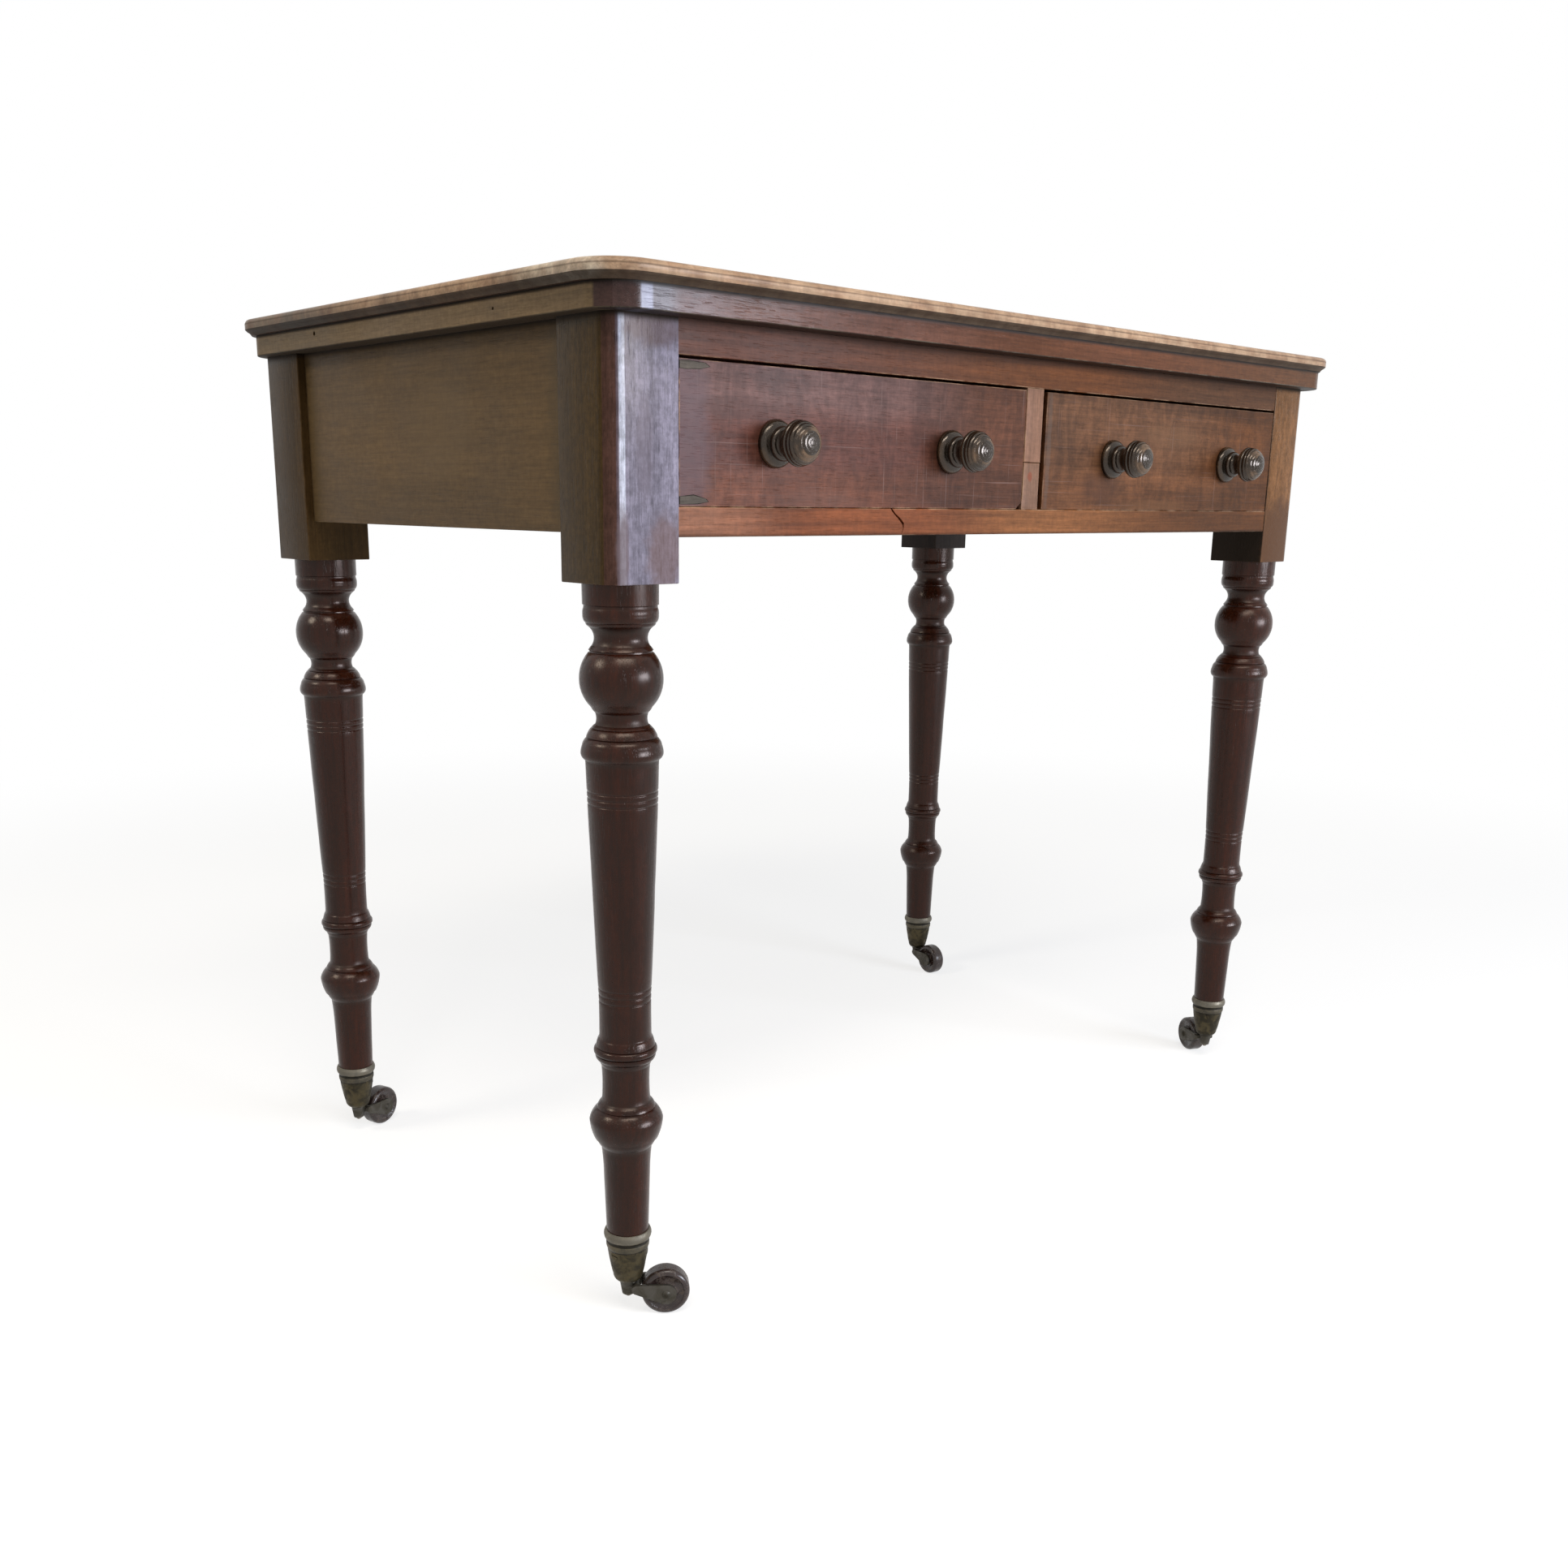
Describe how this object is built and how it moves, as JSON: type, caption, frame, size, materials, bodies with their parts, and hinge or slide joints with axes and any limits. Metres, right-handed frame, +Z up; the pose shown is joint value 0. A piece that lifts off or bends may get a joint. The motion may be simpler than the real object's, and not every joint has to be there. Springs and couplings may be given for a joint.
{
  "type": "writing desk",
  "caption": "Rectangular writing desk with two side-by-side drawers under a moulded top, on turned legs with swivelling brass casters.",
  "frame": {"origin": "on the floor, under the middle of the whole desk's box", "axes": "+X along the length to the right seen from the front, +Y from the drawer fronts to the back, +Z up"},
  "size_m": [0.914, 0.5554, 0.751],
  "materials": {
    "case_mahogany": "polished, worn",
    "front_mahogany": "polished, faded",
    "turned_mahogany": "glossy polish",
    "dark_knob": "glossy polish",
    "inner_softwood": "bare, aged",
    "drawer_lining": "bare, aged",
    "aged_brass": "tarnished",
    "brown_china": "glazed, worn",
    "screw_steel": "dull, aged"
  },
  "bodies": {
    "desk_frame": {"top_board": "case_mahogany", "top_band_front": "case_mahogany", "top_band_back": "case_mahogany", "top_band_left": "case_mahogany", "top_band_right": "case_mahogany", "leg_front_left": "turned_mahogany", "leg_front_right": "turned_mahogany", "leg_back_left": "turned_mahogany", "leg_back_right": "turned_mahogany", "apron_left": "case_mahogany", "apron_right": "case_mahogany", "apron_back": "case_mahogany", "top_rail": "front_mahogany", "bottom_rail": "front_mahogany", "centre_muntin": "front_mahogany", "drawer_runner_left": "inner_softwood", "drawer_runner_centre": "inner_softwood", "drawer_runner_right": "inner_softwood", "drawer_guide_left": "inner_softwood", "drawer_guide_centre": "inner_softwood", "drawer_guide_right": "inner_softwood", "drawer_kicker_left": "inner_softwood", "drawer_kicker_centre": "inner_softwood", "drawer_kicker_right": "inner_softwood", "drawer_stops": "inner_softwood", "glue_blocks": "inner_softwood", "top_screws": "screw_steel", "caster_cup_front_left": "aged_brass", "caster_cup_front_right": "aged_brass", "caster_cup_back_left": "aged_brass", "caster_cup_back_right": "aged_brass", "caster_screws": "aged_brass", "caster_spindles": "screw_steel"},
    "drawer_left": {"drawer_left_front": "front_mahogany", "drawer_left_side_left": "drawer_lining", "drawer_left_side_right": "drawer_lining", "drawer_left_back": "drawer_lining", "drawer_left_bottom": "drawer_lining", "drawer_left_knob_left": "dark_knob", "drawer_left_knob_right": "dark_knob"},
    "drawer_right": {"drawer_right_front": "front_mahogany", "drawer_right_side_left": "drawer_lining", "drawer_right_side_right": "drawer_lining", "drawer_right_back": "drawer_lining", "drawer_right_bottom": "drawer_lining", "drawer_right_knob_left": "dark_knob", "drawer_right_knob_right": "dark_knob"},
    "caster_swivel_front_left": {"caster_horn_front_left": "aged_brass", "caster_axle_front_left": "screw_steel"},
    "caster_roller_front_left": {"caster_wheel_front_left": "brown_china"},
    "caster_swivel_front_right": {"caster_horn_front_right": "aged_brass", "caster_axle_front_right": "screw_steel"},
    "caster_roller_front_right": {"caster_wheel_front_right": "brown_china"},
    "caster_swivel_back_left": {"caster_horn_back_left": "aged_brass", "caster_axle_back_left": "screw_steel"},
    "caster_roller_back_left": {"caster_wheel_back_left": "brown_china"},
    "caster_swivel_back_right": {"caster_horn_back_right": "aged_brass", "caster_axle_back_right": "screw_steel"},
    "caster_roller_back_right": {"caster_wheel_back_right": "brown_china"}
  },
  "joints": [
    {"name": "drawer_left_slide", "type": "slide", "parent": "desk_frame", "child": "drawer_left", "axis": [0, -1, 0], "range_m": [0, 0.32]},
    {"name": "drawer_right_slide", "type": "slide", "parent": "desk_frame", "child": "drawer_right", "axis": [0, -1, 0], "range_m": [0, 0.32]},
    {"name": "caster_front_left_swivel", "type": "hinge", "parent": "desk_frame", "child": "caster_swivel_front_left", "pos_m": [-0.4087, -0.21125, 0.022], "axis": [0, 0, 1], "continuous": true},
    {"name": "caster_front_left_roll", "type": "hinge", "parent": "caster_swivel_front_left", "child": "caster_roller_front_left", "pos_m": [-0.38564, -0.228, 0.0185], "axis": [0.5878, 0.809, 0], "continuous": true},
    {"name": "caster_front_right_swivel", "type": "hinge", "parent": "desk_frame", "child": "caster_swivel_front_right", "pos_m": [0.4087, -0.21125, 0.022], "axis": [0, 0, 1], "continuous": true},
    {"name": "caster_front_right_roll", "type": "hinge", "parent": "caster_swivel_front_right", "child": "caster_roller_front_right", "pos_m": [0.42208, -0.18609, 0.0185], "axis": [-0.8829, 0.4695, 0], "continuous": true},
    {"name": "caster_back_left_swivel", "type": "hinge", "parent": "desk_frame", "child": "caster_swivel_back_left", "pos_m": [-0.4087, 0.22475, 0.022], "axis": [0, 0, 1], "continuous": true},
    {"name": "caster_back_left_roll", "type": "hinge", "parent": "caster_swivel_back_left", "child": "caster_roller_back_left", "pos_m": [-0.38159, 0.23356, 0.0185], "axis": [-0.309, 0.9511, 0], "continuous": true},
    {"name": "caster_back_right_swivel", "type": "hinge", "parent": "desk_frame", "child": "caster_swivel_back_right", "pos_m": [0.4087, 0.22475, 0.022], "axis": [0, 0, 1], "continuous": true},
    {"name": "caster_back_right_roll", "type": "hinge", "parent": "caster_swivel_back_right", "child": "caster_roller_back_right", "pos_m": [0.40473, 0.19653, 0.0185], "axis": [0.9903, -0.1392, 0], "continuous": true}
  ]
}
